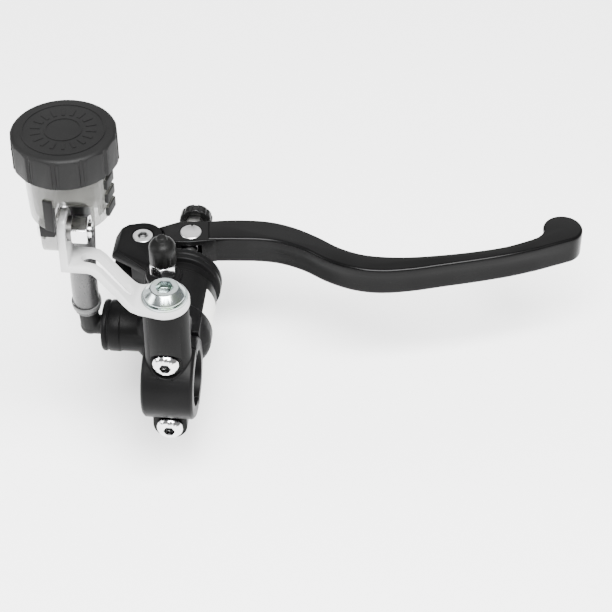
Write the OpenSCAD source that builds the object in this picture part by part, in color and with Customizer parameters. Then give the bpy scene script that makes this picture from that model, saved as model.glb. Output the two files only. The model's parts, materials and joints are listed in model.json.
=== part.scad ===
// Right-hand brake lever with a radial master cylinder and a remote fluid reservoir.
// Origin: centre of the handlebar bore. +X runs out along the bar, towards the lever's tip.
// +Y points forward, away from the rider. +Z is up. Sizes are in millimetres.

/* [Handlebar clamp] */
// Diameter of the handlebar
bar_d = 22.2; // [21.9:0.1:22.5]
// Outer radius of the clamp ring
ring_r = 16.4; // [16:0.1:17]
// Width of the clamp along the bar
clamp_w = 20.4; // [19:0.2:22]
// Gap between the two clamp halves
clamp_gap = 1; // [0.6:0.2:1.6]
// Height of each clamp bolt above or below the bar
bolt_z = 17; // [16.8:0.1:17.4]

/* [Mirror boss and reservoir bracket] */
// Radius of the upright mirror boss
post_r = 8.9; // [8.4:0.1:9.4]
// Height of the boss's top face
post_top = 42; // [40:0.5:44]
// How far the boss stands behind the bar's centre
post_back = 4; // [3.5:0.1:4.5]
// Thickness of the bracket strip
strip_t = 3.2; // [2.6:0.2:3.2]
// Half the width of the bracket strip
strip_half = 6; // [5:0.2:6]
// Height of the middle of the bracket's upper flat
shelf_z = 61.9; // [61:0.1:63]

/* [Master cylinder] */
// Diameter of the piston bore
bore_d = 19.05; // [18.5:0.05:19.1]
// Outer radius of the cylinder
barrel_r = 15; // [14.6:0.1:15.4]
// Where the cylinder's closed end is, forward of the bar
barrel_back = 16; // [15.5:0.5:16.5]
// Where the cylinder's mouth is, forward of the bar
barrel_front = 58; // [57.8:0.1:58.2]
// Height of the cylinder's axis above the bar
axis_z = 1.5; // [1.3:0.1:1.7]
// Place of the cylinder's axis along the bar
axis_x = -2.8; // [-3.1:0.1:-2.5]

/* [Lever] */
// Place of the pivot along the bar
pivot_x = -22.6; // [-22.8:0.1:-22.4]
// Place of the pivot forward of the bar
pivot_y = 75.2; // [75:0.1:75.4]
// Place of the pushrod's cross pin forward of the bar
nut_y = 79.9; // [79.7:0.1:80.1]
// Height of the lever's blade
blade_h = 13; // [12:0.2:13]
// Radius of the ball end
ball_r = 8.4; // [8:0.1:8.8]

/* [Reservoir] */
// Place of the tank's axis along the bar
tank_x = -32; // [-32.3:0.1:-31.7]
// Height of the tank's underside
tank_z = 86; // [86:0.1:86.6]
// Outer radius of the tank at its underside
tank_r = 14.7; // [14.5:0.1:14.9]
// Outer radius of the cap
cap_r = 19; // [18.4:0.1:19.4]
// Height of the cap
cap_h = 12.5; // [12:0.5:14]

/* [Hidden] */

$fn = 64;
slip = 0.05;              // radial clearance of a running fit
far = 60;                 // longer than any cut
casting = "#1d1d1f";
steel = "#c9ccd0";
rubber = "#141414";
smoke = [0.45, 0.45, 0.43, 0.55];

bar_r = bar_d / 2;
bore_r = bore_d / 2;
m6 = 3;                   // radius of an M6 thread
head_seat = 10.5;         // how far behind the bar the clamp bolts' heads bear
lug_r = 6.75;             // radius of the bosses around the clamp bolts

barrel_lip_r = 15.9;        // radius of the cylinder's thicker ends
groove_y = [46.2, 51.4];  // the deep groove behind the mouth lies between these
groove_r = 13.6;
bore_back = 20.5;         // bottom of the piston bore
seat_y = barrel_front - 3; // shoulder that the stop washer rests on
seat_r = 11.1;

port_y = 26;              // reservoir port, and the outlet under it
port_x = -31;             // outer face of the port boss
port_r = 10.5;
socket_r = 6.6;           // socket for the elbow
socket_end = -23.5;
outlet_r = 4.5;           // tapped hole for the brake hose's banjo bolt
outlet_z = -19.5;
outlet_depth = 8.5;

bleed = [-8.2, 41];       // place of the bleed screw
bleed_z = 18;             // its seat
bleed_r = 4;

pivot = [pivot_x, pivot_y];
ear_top = 8.2;
ear_bottom = -6.5;
slot_low = -1.4;          // the slot that the lever's tongue turns in
slot_high = 4.3;
slot_reach = 17;
hub_gap = 0.12;           // room above and below the tongue
neck_r = 9;               // radius of the knuckle's hollow end, round the ears
pin_r = 4.7;              // cross pin in the knuckle
pin_x = axis_x;
bush_r = 4.5;

knuckle_top = 7.6;
knuckle_low = axis_z * 2 - knuckle_top;
rod_r = 3;
rod_tip = 51.2;           // pushrod's end in the piston
knob_y = 93;
knob_r = 7;
knob_t = 5;

piston_y = 32.5;          // front face of the piston, lever at rest
piston_end = seat_y - 0.2;
pocket_r = 5.2;
pocket_end = 42;

tank_y = -post_back - 0.5;
tank_top_r = tank_r + 1.1;
cap_top = tank_z + 36;
cap_low = cap_top - cap_h;
cap_turn = 29;             // the cap's flats stand this far round, in degrees
neck_out = 16.6;          // tank's threaded neck
rim_z = cap_top - 4.5;    // top of the neck
wall = 1.6;
lug_x = [-42.3, -37.1];   // the tank's lug lies between these
screw_z = tank_z - 9;     // height of the tank screw
recess_x = -28.9;         // middle of the recess for the nut
recess_r = 6.6;
recess_z = 95.2;          // where its arch begins
recess_back = -3;
stop_turn = -10;
spigot = [-31.4, 6.6];
spigot_len = 7.5;

elbow_x = -36.6;
elbow_tilt = 12;          // the elbow's upright leans this far back, in degrees
leg_seat = 12;            // the hose ends this far up the upright
hose_r = 5.2;
hose_bore = 3.55;

// ---------- shared shapes ----------

// Turns a shape drawn along +Z to lie along +Y.
module along_y() rotate([-90, 0, 0]) children();

// Turns a shape drawn along +Z to lie along +X.
module along_x() rotate([0, 90, 0]) children();

// A round bar along +Y, from y0 to y1.
module bar_y(x, z, r, y0, y1) translate([x, y0, z]) along_y() cylinder(r = r, h = y1 - y0);

// A round bar along +X, from x0 to x1.
module bar_x(y, z, r, x0, x1) translate([x0, y, z]) along_x() cylinder(r = r, h = x1 - x0);

// A flat ring.
module ring(r_in, r_out, h) difference() {
    cylinder(r = r_out, h = h);
    translate([0, 0, -1]) cylinder(r = r_in, h = h + 2);
}

// A hexagon, measured across its flats.
module hex(flats, h) cylinder(r = flats / sqrt(3), h = h, $fn = 6);

// A domed socket-head button, its seat at z = 0.
module button_head(r, h, socket) difference() {
    rotate_extrude() polygon([[0, 0], [r, 0], [r, h * 0.18],
        for (a = [20:17.5:90]) [r * 0.42 + r * 0.58 * cos(a), h * 0.18 + h * 0.82 * sin(a)],
        [0, h]]);
    translate([0, 0, h * 0.3]) hex(socket, h);
}

// Points on an arc.
function arc(c, r, a0, a1, n) = [for (i = [0:n]) c + r * [cos(a0 + (a1 - a0) * i / n),
                                                          sin(a0 + (a1 - a0) * i / n)]];
function unit(v) = v / norm(v);

// A smooth curve through p1 and p2 at t from 0 to 1, guided by the points on either side.
function glide(p0, p1, p2, p3, t) = 0.5 * (2 * p1 + (p2 - p0) * t
    + (2 * p0 - 5 * p1 + 4 * p2 - p3) * t * t + (3 * p1 - p0 - 3 * p2 + p3) * t * t * t);
function smooth(pts, steps) = let (n = len(pts)) [for (i = [0:n - 2], k = [0:steps - 1])
    glide(pts[max(i - 1, 0)], pts[i], pts[i + 1], pts[min(i + 2, n - 1)], k / steps), pts[n - 1]];

// ---------- handlebar clamp ----------

module clamp_ring() along_x() rotate_extrude() polygon([[bar_r, -clamp_w / 2],
    [ring_r - 1, -clamp_w / 2], [ring_r, 1 - clamp_w / 2], [ring_r, clamp_w / 2 - 1],
    [ring_r - 1, clamp_w / 2], [bar_r, clamp_w / 2]]);

module clamp_lug(side, y0, y1) {
    bar_y(0, side * bolt_z, lug_r, y0, y1);
    translate([-lug_r, y0, side > 0 ? 12 : -bolt_z]) cube([lug_r * 2, y1 - y0, bolt_z - 12]);
}

module clamp_cap() color(casting) difference() {
    union() {
        difference() {
            union() {
                clamp_ring();
                clamp_lug(-1, -head_seat, far / 4);
            }
            translate([-far, -clamp_gap / 2, -far]) cube(far * 2);
        }
        difference() {
            translate([0, -post_back, 8]) cylinder(r = post_r, h = post_top - 8);
            translate([-far, -clamp_gap / 2, -far]) cube([far * 2, far, far + bolt_z + 8]);
        }
    }
    bar_x(0, 0, bar_r, -far, far);
    for (side = [-1, 1]) {
        bar_y(0, side * bolt_z, m6 + 0.2, -far, far / 2);
        bar_y(0, side * bolt_z, 6.3, -far, -head_seat);
    }
    translate([0, -post_back, post_top - 16]) cylinder(r = 5 + slip, h = far);
}

module clamp_bolts() color(steel) for (side = [-1, 1])
    translate([0, -head_seat, side * bolt_z]) {
        rotate([90, 0, 0]) button_head(5.25, 3.3, 4);
        along_y() cylinder(r = m6, h = 21);
    }

// ---------- cylinder body ----------

// Outside of the cylinder, turned about its axis from closed end to mouth.
module barrel() translate([axis_x, 0, axis_z]) along_y() rotate_extrude(convexity = 4)
    polygon(concat([[0, barrel_back]], arc([barrel_lip_r - 5, barrel_back + 5], 5, -90, 0, 6), [
        [barrel_lip_r, 25.4], [barrel_r, 26.2], [barrel_r, groove_y[0] - 0.4],
        [barrel_r - 0.4, groove_y[0]], [groove_r, groove_y[0]], [groove_r, groove_y[1]],
        [barrel_lip_r - 0.5, groove_y[1]], [barrel_lip_r, groove_y[1] + 0.5],
        [barrel_lip_r, 53.7], [barrel_lip_r - 0.5, 54], [barrel_lip_r - 0.5, 54.6],
        [barrel_lip_r, 54.9], [barrel_lip_r, barrel_front - 0.8], [barrel_r, barrel_front],
        [0, barrel_front]]));

ear_outline = concat([[-34, 63.5], [-34, 75], [-32.6, 78.6], [-29.4, 81.8]],
    arc(pivot, 8.3, 100, -35, 15), [[-8, 58.6], [-8, 50], [-15, 52.5]]);

// Cuts a sloping corner off the top of a wall that runs from a to b.
module corner_cut(a, b, z, inset, drop) translate([a[0], a[1], z])
    rotate([0, 0, atan2(b[1] - a[1], b[0] - a[0])]) rotate([90, 0, 90])
        linear_extrude(norm(b - a)) polygon([[-1, 0.6], [inset + 0.8, 0.6], [-1, -drop - 1]]);

module ears() difference() {
    translate([0, 0, ear_bottom]) linear_extrude(ear_top - ear_bottom) polygon(ear_outline);
    translate([pivot_x, pivot_y, slot_low])
        cylinder(r = slot_reach, h = slot_high - slot_low);
    corner_cut([-36, 64.66], [-12, 50.76], ear_top, 2.2, 1.6);
    corner_cut([-34, 84], [-34, 60], ear_top, 2.2, 1.6);
    boot_room();
}

// Clear space in the ears' inner side, round the dust boot.
module boot_room() turned() polygon([[0, barrel_front], [13, barrel_front],
    [13, barrel_front + 2.4], [11, barrel_front + 4.8], [9, barrel_front + 6.4],
    [7, barrel_front + 8], [0, barrel_front + 8]]);

// Reservoir port: a turned boss that points inboard, with a rim and a groove.
module port_boss() translate([port_x, port_y, axis_z]) along_x() rotate_extrude()
    polygon([[0, 0], [port_r - 0.6, 0], [port_r, 0.6], [port_r, 1.9], [port_r - 0.5, 2.2],
        [port_r - 0.5, 2.8], [port_r, 3.1], [port_r, 7.4], [port_r - 0.35, 7.7],
        [port_r - 0.35, 20], [0, 20]]);

module body() color(casting) difference() {
    union() {
        difference() {
            union() {
                clamp_ring();
                clamp_lug(-1, -1, 12);
                clamp_lug(1, -1, 14.5);
            }
            translate([-far, clamp_gap / 2 - far * 2, -far]) cube(far * 2);
        }
        translate([-9.4, 13, -9]) cube([18.8, 8, 21.5]);
        barrel();
        ears();
        port_boss();
        translate([axis_x, port_y, outlet_z]) cylinder(r = 8, h = 18);
        translate([bleed[0], bleed[1], 7]) cylinder(r = 6.6, h = bleed_z - 7);
        translate([bleed[0], bleed[1], bleed_z - 2.4]) cylinder(r = 7.3, h = 1.8);
    }
    bar_x(0, 0, bar_r, -far, far);
    for (side = [-1, 1]) bar_y(0, side * bolt_z, m6 + slip, -1, 12);
    bar_y(axis_x, axis_z, bore_r, bore_back, far);
    bar_y(axis_x, axis_z, seat_r, seat_y, barrel_front + 1);
    bar_y(axis_x, axis_z, seat_r + 0.8, seat_y + 1.5, seat_y + 2.6);
    bar_x(port_y, axis_z, socket_r, port_x - 1, socket_end);
    bar_x(port_y, axis_z, socket_r + 0.6, port_x + 0.8, port_x + 1.7);
    bar_x(31, axis_z, 0.8, socket_end - 1, axis_x);
    translate([axis_x, port_y, outlet_z - 1]) cylinder(r = outlet_r, h = outlet_depth + 1);
    translate([axis_x, port_y, outlet_z]) cylinder(r = 1.6, h = 15);
    translate([bleed[0], bleed[1], bleed_z - 7]) cylinder(r = bleed_r + slip, h = far);
    translate([bleed[0], bleed[1], bleed_z - 9]) cylinder(r = 1, h = 5);
    translate([pivot_x, pivot_y, -far]) cylinder(r = m6 + slip, h = far * 2);
    translate([pivot_x, pivot_y, ear_top - 2.3]) cylinder(r = 4.6, h = far);
}

// A printed plate that wraps round the outboard side of the cylinder.
module side_label() color("#e9eae2") translate([axis_x, 0, axis_z]) along_y()
    rotate([0, 0, -38]) rotate_extrude(angle = 58)
        translate([barrel_r + 0.02, 26.6]) square([0.22, 14]);

// ---------- reservoir bracket and its bolt ----------

module bracket_bolt() color(steel) translate([0, -post_back, post_top + strip_t + 1.25]) {
    difference() {
        rotate_extrude() polygon([[0, 0], [8, 0], [8, 0.8], [5.6, 3.7], [5.2, 4], [0, 4]]);
        translate([0, 0, 1]) hex(6, 4);
    }
    translate([0, 0, -18]) cylinder(r = 5, h = 18.5);
}

module bracket_washer() color(steel) translate([0, -post_back, post_top + strip_t + 0.02])
    ring(5.2, 8.8, 1.2);

// Middle line of the strip seen from the rider's side, as [along the bar, height].
bend_x = -35.5;
strip_z = post_top + strip_t / 2;
strip_line = [[post_r + 0.6, strip_z], [-8.9, strip_z], [-11.4, strip_z + 0.7],
    [-13.3, strip_z + 2.6], [-23.2, shelf_z - 2.2], [-24.9, shelf_z - 0.6],
    [-27.2, shelf_z], [bend_x, shelf_z]];

// Offsets a line of points sideways by d.
function side_of(line, d) = [for (i = [0:len(line) - 1]) let (
    a = line[max(i - 1, 0)], b = line[min(i + 1, len(line) - 1)], t = unit(b - a))
    line[i] + d * [-t[1], t[0]]];
function backwards(v) = [for (i = [len(v) - 1:-1:0]) v[i]];

module reservoir_bracket() color("#eeeeec") difference() {
    union() {
        intersection() {
            translate([0, far, 0]) rotate([90, 0, 0]) linear_extrude(far * 2)
                polygon(concat(side_of(strip_line, strip_t / 2),
                               backwards(side_of(strip_line, -strip_t / 2))));
            translate([0, 0, post_top - 10]) linear_extrude(far) union() {
                translate([0, -post_back]) circle(r = post_r + 0.5);
                polygon([[0, -post_back + 9.4], [-12, tank_y + strip_half + 0.6],
                    [-16, tank_y + strip_half], [bend_x - 2, tank_y + strip_half],
                    [bend_x - 2, tank_y - strip_half], [-16, tank_y - strip_half],
                    [-12, tank_y - strip_half - 0.6], [0, -post_back - 9.4]]);
            }
        }
        translate([bend_x - strip_t / 2, tank_y, 0]) {
            translate([0, -strip_half, shelf_z - strip_t / 2])
                cube([strip_t, strip_half * 2, screw_z + 2 - shelf_z + strip_t / 2]);
            translate([0, 0, screw_z + 2]) along_x() cylinder(r = strip_half, h = strip_t);
        }
    }
    translate([0, -post_back, 0]) cylinder(r = 5.2, h = far * 2);
    bar_x(tank_y, screw_z, m6 + 0.2, -far, far);
    for (x = [-14.5, -27.5]) translate([x, tank_y, 0]) cylinder(r = 2.6, h = far * 2);
    translate([-27.5, tank_y - 2.6, 0]) cube([13, 5.2, far * 2]);
}

plate_out = bend_x + strip_t / 2;

module tank_screw() color(steel) {
    translate([lug_x[0] - 0.02, tank_y, screw_z]) rotate([0, -90, 0])
        button_head(4.6, 2.6, 3);
    bar_x(tank_y, screw_z, m6, lug_x[0] - 0.1, plate_out + 9);
}

module tank_lock_washer() color("#55585c")
    translate([plate_out + 0.02, tank_y, screw_z]) along_x() ring(m6 + 0.1, 4.7, 1.7);

module tank_nut() color(steel) translate([plate_out + 1.76, tank_y, screw_z]) along_x()
    difference() {
        intersection() {
            hex(10, 6);
            rotate_extrude() polygon([[0, 0], [5.3, 0], [5.9, 0.6], [5.9, 5.4], [5.3, 6], [0, 6]]);
        }
        translate([0, 0, -1]) cylinder(r = m6 + slip, h = 8);
    }

// ---------- reservoir ----------

// Outside of the tank, or an inside that is smaller all round by the inset.
module tank_outline(inset) rotate_extrude() polygon([[0, tank_z + inset],
    [tank_r - 1 - inset, tank_z + inset], [tank_r - inset, tank_z + 1 + inset],
    [tank_top_r - inset, cap_low + 2], [neck_out - inset, cap_low + 3],
    [neck_out - inset, rim_z + inset], [0, rim_z + inset]]);

// Arched recess in the front of the tank, which leaves room for the nut and a spanner.
module recess(grow) translate([recess_x - tank_x, recess_back + grow - tank_y, 0])
    rotate([90, 0, 0]) linear_extrude(height = 25)
        polygon(concat([[recess_r + grow, tank_z - 5]],
            arc([0, recess_z], recess_r + grow, 0, 180, 12), [[-recess_r - grow, tank_z - 5]]));

module reservoir_tank() color(smoke) translate([tank_x, tank_y, 0]) difference() {
    union() {
        difference() {
            tank_outline(0);
            tank_outline(wall);
        }
        intersection() {
            tank_outline(wall / 2);
            recess(wall);
        }
        translate([lug_x[0] - tank_x, 0, 0]) {
            bar_x(0, screw_z, 8.5, 0, lug_x[1] - lug_x[0]);
            translate([0, -8.5, screw_z]) cube([lug_x[1] - lug_x[0], 17, tank_z + 1 - screw_z]);
        }
        translate([spigot[0] - tank_x, spigot[1] - tank_y, tank_z - spigot_len])
            cylinder(r = 3.4, h = spigot_len + 1);
        rotate([0, 0, stop_turn]) translate([tank_r - 1, -3.5, tank_z + 3])
            cube([2.2, 7, cap_low - tank_z - 4]);
    }
    recess(0);
    translate([spigot[0] - tank_x, spigot[1] - tank_y, tank_z - 10]) cylinder(r = 2.2, h = 14);
    bar_x(0, screw_z, m6 + 0.2, -far, far);
    rotate([0, 0, stop_turn]) for (z = [tank_z + 7, tank_z + 13, tank_z + 19])
        translate([tank_r + 0.5, -4, z]) cube([2, 8, 1.6]);
}

// Twelve flats make the cap easy to grip, with a narrow groove between each two.
module reservoir_cap() color("#151515") translate([tank_x, tank_y, 0]) difference() {
    union() {
        intersection() {
            rotate([0, 0, cap_turn]) translate([0, 0, cap_low - 1])
                cylinder(r = cap_r + 0.35, h = cap_h + 2, $fn = 12);
            rotate_extrude() polygon(concat([[neck_out + slip + 0.03, cap_low],
                [cap_r - 0.5, cap_low], [cap_r, cap_low + 0.5]],
                arc([cap_r - 2, cap_top - 2], 2, 0, 90, 5),
                [[0, cap_top], [0, rim_z + 2.2], [neck_out + slip + 0.03, rim_z + 2.2]]));
        }
        translate([0, 0, cap_top - 1]) for (r = [6.4, 14.6]) ring(r - 0.35, r + 0.35, 1.3);
    }
    for (a = [0:30:359]) rotate([0, 0, cap_turn + a]) translate([cap_r + 0.4, 0, cap_low - 1])
        cylinder(r = 0.9, h = cap_h + 2);
}

// Rubber bellows that hangs in the neck; its rim is squeezed under the cap.
module diaphragm() color(rubber) translate([tank_x, tank_y, 0]) rotate_extrude() polygon([
    [0, rim_z - 9], [8, rim_z - 9], [8.6, rim_z - 6.2], [11.4, rim_z - 6.2], [12, rim_z - 1],
    [13.2, rim_z + 0.02], [neck_out - 0.2, rim_z + 0.02], [neck_out - 0.2, rim_z + 1.2],
    [12.6, rim_z + 1.2], [10.9, rim_z - 0.4], [10.4, rim_z - 5.2], [7.7, rim_z - 5.2],
    [7.1, rim_z - 8], [0, rim_z - 8]]);

module diaphragm_ring() color("#dedede") translate([tank_x, tank_y, rim_z + 1.25])
    ring(12.8, neck_out - 0.3, 0.9);

// ---------- hose and elbow ----------

lean = [0, -sin(elbow_tilt), cos(elbow_tilt)];
elbow_at = [elbow_x, port_y, axis_z];
hose_low = elbow_at + leg_seat * lean;
hose_high = [spigot[0], spigot[1], tank_z - 0.6];

// The hose's route is one curve, straight at both ends.
hose_pull = 26;
function hose_at(t) = let (a = hose_low, b = hose_low + hose_pull * lean,
    c = hose_high - [0, 0, hose_pull], d = hose_high)
    pow(1 - t, 3) * a + 3 * t * pow(1 - t, 2) * b + 3 * t * t * (1 - t) * c + pow(t, 3) * d;
function hose_way(t) = t <= 0 ? lean : t >= 1 ? [0, 0, 1] : unit(hose_at(t + 0.01) - hose_at(t - 0.01));

sides = 16;
stations = 20;
// One ring of points about the route, square to it.
function hose_ring(t, r) = let (w = hose_way(t), u = unit(cross([0, 1, 0], w)), v = cross(w, u))
    [for (k = [0:sides - 1]) hose_at(t) + r * (cos(k * 360 / sides) * u + sin(k * 360 / sides) * v)];

module tube(t0, t1, n, r_out, r_in) polyhedron(
    points = [for (i = [0:n]) let (t = t0 + (t1 - t0) * i / n)
        each concat(hose_ring(t, r_out), hose_ring(t, r_in))],
    faces = concat(
        [for (i = [0:n - 1], k = [0:sides - 1]) let (p = i * 2 * sides, q = p + 2 * sides,
            m = (k + 1) % sides) [p + k, q + k, q + m, p + m]],
        [for (i = [0:n - 1], k = [0:sides - 1]) let (p = i * 2 * sides + sides, q = p + 2 * sides,
            m = (k + 1) % sides) [p + k, p + m, q + m, q + k]],
        [for (k = [0:sides - 1]) let (m = (k + 1) % sides) [k, m, sides + m, sides + k]],
        [for (k = [0:sides - 1]) let (p = n * 2 * sides, m = (k + 1) % sides)
            [p + k, p + sides + k, p + sides + m, p + m]]));

module fluid_hose() color("#77787a") tube(0, 1, stations, hose_r, hose_bore + 0.12);

// Turns a shape drawn along +Z to follow the elbow's upright.
module up_leg(s) translate(elbow_at + s * lean) rotate([elbow_tilt, 0, 0]) children();

module hose_clamps() color("#8b8b8d") {
    up_leg(leg_seat + 2.4) ring(hose_r + 0.12, hose_r + 0.7, 2.4);
    translate([spigot[0], spigot[1], tank_z - 3.4]) ring(hose_r + 0.12, hose_r + 0.7, 2.4);
}

module reservoir_elbow() color("#161616") difference() {
    union() {
        translate(elbow_at) sphere(r = 4.25);
        up_leg(0) cylinder(r = 4, h = leg_seat - 0.4);
        up_leg(leg_seat - 1) cylinder(r = 3.3, h = 8.5);
        bar_x(port_y, axis_z, 4, elbow_x, port_x + 3);
        translate([port_x + 2.5, port_y, axis_z]) along_x() rotate_extrude() polygon([[0, 0],
            [6.4, 0], [6.4, 1.2], [5.1, 1.2], [5.1, 3], [6.4, 3], [6.4, 4.6], [0, 4.6]]);
    }
    up_leg(0) cylinder(r = 2, h = 30);
    bar_x(port_y, axis_z, 1.8, elbow_x, 0);
}

module elbow_o_ring() color(rubber) translate([port_x + 4.6, port_y, axis_z]) along_x()
    rotate_extrude() translate([5.85, 0]) circle(r = 0.7, $fn = 24);

module elbow_snap_ring() color(steel) translate([port_x + 0.85, port_y, axis_z]) along_x()
    difference() {
        ring(4.4, socket_r + 0.5, 0.8);
        translate([0, -1.5, -1]) cube([10, 3, 3]);
    }

// ---------- bleed screw ----------

module bleeder_screw() color(steel) translate([bleed[0], bleed[1], bleed_z - 7]) difference() {
    union() {
        cylinder(r = bleed_r, h = 7.1);
        translate([0, 0, 7.02]) intersection() {
            rotate([0, 0, 30]) hex(10, 6);
            rotate_extrude() polygon([[0, 0], [5.4, 0], [5.9, 0.5], [5.9, 5.3], [5.2, 6], [0, 6]]);
        }
        translate([0, 0, 13]) cylinder(r = 2.9, h = 6);
        translate([0, 0, 19]) cylinder(r1 = 3.4, r2 = 2.4, h = 2.5);
    }
    translate([0, 0, 3]) cylinder(r = 0.9, h = 20);
}

module bleeder_cap() color(rubber) translate([bleed[0], bleed[1], bleed_z + 6.1]) difference() {
    rotate_extrude() polygon(concat([[0, 0], [5.1, 0], [5.45, 0.4], [5.45, 7.1]],
        arc([1.4, 7.2], 4.05, 8, 72, 6), [[2.2, 11.3]],
        arc([0.9, 11.8], 1.2, 0, 90, 4), [[0, 13]]));
    translate([0, 0, -1]) cylinder(r = 3.45, h = 10.5);
}

// ---------- piston ----------

module turned() translate([axis_x, 0, axis_z]) along_y() rotate_extrude() children();

module piston() color("#9a9da3") {
    land = bore_r - slip;
    turned() polygon([[pocket_r, piston_y], [8.4, piston_y], [8.6, piston_y + 1.2],
        [7, piston_y + 1.3], [7, piston_y + 4.8], [land, piston_y + 4.8], [land, piston_y + 6.4],
        [7.4, piston_y + 7], [7.4, piston_y + 14], [land, piston_y + 14.6],
        [land, piston_y + 16], [7, piston_y + 16], [7, piston_y + 19], [land, piston_y + 19],
        [land, piston_end - 0.4], [land - 0.4, piston_end], [3.8, piston_end],
        [3.8, rod_tip - 0.4], [0, rod_tip - 2.4], [0, pocket_end], [pocket_r, pocket_end]]);
}

// A lip seal: its open side faces the fluid.
module cup(y, h) color(rubber) turned() polygon([[7.03, y], [7.6, y], [7.9, y + h * 0.55],
    [8.9, y + h * 0.5], [bore_r - 0.12, y], [bore_r - 0.03, y + 0.3],
    [bore_r - 0.5, y + h], [7.03, y + h]]);
module primary_cup() cup(piston_y + 1.4, 3.3);
module secondary_cup() cup(piston_y + 16.1, 2.8);

// Helical spring between the bottom of the bore and the piston's pocket.
spring_turns = 6;
spring_r = 4.25;
wire_r = 0.7;
wire_sides = 8;
steps_per_turn = 16;
module return_spring() color(steel) {
    n = spring_turns * steps_per_turn;
    y0 = bore_back + wire_r + 0.05;
    y1 = pocket_end - wire_r - 0.05;
    polyhedron(
        points = [for (i = [0:n], k = [0:wire_sides - 1]) let (
            a = i * 360 / steps_per_turn, b = k * 360 / wire_sides, r = spring_r + wire_r * cos(b))
            [axis_x + r * cos(a), y0 + (y1 - y0) * i / n + wire_r * sin(b), axis_z + r * sin(a)]],
        faces = concat(
            [for (i = [0:n - 1], k = [0:wire_sides - 1]) let (m = (k + 1) % wire_sides,
                p = i * wire_sides, q = p + wire_sides) [p + k, p + m, q + m, q + k]],
            [backwards([for (k = [0:wire_sides - 1]) k])],
            [[for (k = [0:wire_sides - 1]) n * wire_sides + k]]));
}

module piston_stop_washer() color(steel) translate([axis_x, seat_y + 0.02, axis_z]) along_y()
    ring(5, seat_r - slip, 1.4);

module piston_circlip() color(steel) translate([axis_x, seat_y + 1.55, axis_z]) along_y()
    difference() {
        ring(9.6, seat_r + 0.7, 1);
        translate([-2, 0, -1]) cube([4, 20, 3]);
    }

module dust_boot() color(rubber) turned() polygon([[10.6, barrel_front + 0.02],
    [12.4, barrel_front + 0.02], [12.6, barrel_front + 1.4], [10.6, barrel_front + 2.2],
    [9.8, barrel_front + 3.4], [10.2, barrel_front + 4.2], [8, barrel_front + 5.4],
    [6.4, barrel_front + 7.2], [4.2, barrel_front + 7.2], [4.2, barrel_front + 5.9],
    [6.2, barrel_front + 4.6], [8.4, barrel_front + 3.4], [9, barrel_front + 1.6]]);

// ---------- lever ----------

// The blade's middle line with its half width, as [along the bar, forward, half width].
blade = [[4, 81.5, 6.1], [16, 83, 6.5], [28, 83.4, 6.3], [38, 81.5, 5.7], [48, 77.1, 5.1],
    [58, 70.9, 4.95], [68, 67.1, 5], [78, 66.1, 4.9], [90, 67.5, 4.2], [104, 70.9, 3.4],
    [118, 74.8, 3.05], [131, 79.2, 3], [142, 84.4, 3.5], [149.5, 90.6, 5.6]];
ball = [153.7, 95.8];
edge_cut = 1.4;           // bevel along the blade's edges

// Eight-sided section of the blade, square to its middle line.
function section(p, way, h) = let (n = [-way[1], way[0]], w = p[2], c = edge_cut)
    [for (q = [[w, c - h], [w, h - c], [w - c, h], [c - w, h], [-w, h - c], [-w, c - h],
        [c - w, -h], [w - c, -h]]) [p[0] + n[0] * q[0], p[1] + n[1] * q[0], axis_z + q[1]]];

module blade_solid() {
    line = smooth(blade, 4);
    n = len(line) - 1;
    knuckle_half = knuckle_top - axis_z;
    rings = [for (i = [0:n]) let (a = line[max(i - 1, 0)], b = line[min(i + 1, n)],
        h = min(blade_h / 2, knuckle_half + i * 0.2))
        section(line[i], unit([b[0] - a[0], b[1] - a[1]]), h)];
    polyhedron(points = [for (r = rings) each r],
        faces = concat([for (i = [0:n - 1], k = [0:7]) let (m = (k + 1) % 8)
                [i * 8 + k, i * 8 + 8 + k, i * 8 + 8 + m, i * 8 + m]],
            [[for (k = [0:7]) k]], [[for (k = [7:-1:0]) n * 8 + k]]));
}

// Room for the pushrod, which stays in line with the cylinder while the lever turns by its pull.
pull = 18;
function turned_by(p, a) = [p[0] * cos(a) - p[1] * sin(a), p[0] * sin(a) + p[1] * cos(a)];
module rod_slot() {
    half = rod_r + 0.6;
    reach = 15;
    translate([pin_x, nut_y, axis_z - half]) linear_extrude(half * 2) polygon([[-half, -reach],
        turned_by([half, -reach], pull), [half, -1], [half, reach],
        turned_by([-half, reach], pull), [-half, 1]]);
}

module lever() color("#0f0f10") difference() {
    union() {
        translate([0, 0, knuckle_low]) linear_extrude(knuckle_top - knuckle_low) polygon(concat(
            arc(pivot, neck_r, -17, 48, 10),
            [[-9, 86.2], [0, 87.4], [9, 88.3], [9, 75.5], [-3, 73.2]]));
        translate([0, 0, slot_low + hub_gap]) linear_extrude(slot_high - slot_low - hub_gap * 2)
            union() {
                translate(pivot) circle(r = 7.6);
                polygon([pivot + [0, -7.4], [-10, 73.2], [-10, 84.6], pivot + [-1, 7.4]]);
            }
        blade_solid();
        translate([ball[0], ball[1], axis_z]) rotate_extrude() polygon(concat([[0, -blade_h / 2]],
            arc([ball_r - 2, 2 - blade_h / 2], 2, -90, 0, 5),
            arc([ball_r - 2, blade_h / 2 - 2], 2, 0, 90, 5), [[0, blade_h / 2]]));
    }
    translate([pivot_x, pivot_y, -far]) cylinder(r = bush_r + 0.02, h = far * 2);
    translate([pin_x, nut_y, -far]) cylinder(r = pin_r + slip, h = far * 2);
    rod_slot();
}

module pivot_bushing() color("#b08d4a") translate([pivot_x, pivot_y, slot_low + hub_gap])
    ring(m6 + slip, bush_r, slot_high - slot_low - hub_gap * 2);

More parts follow.
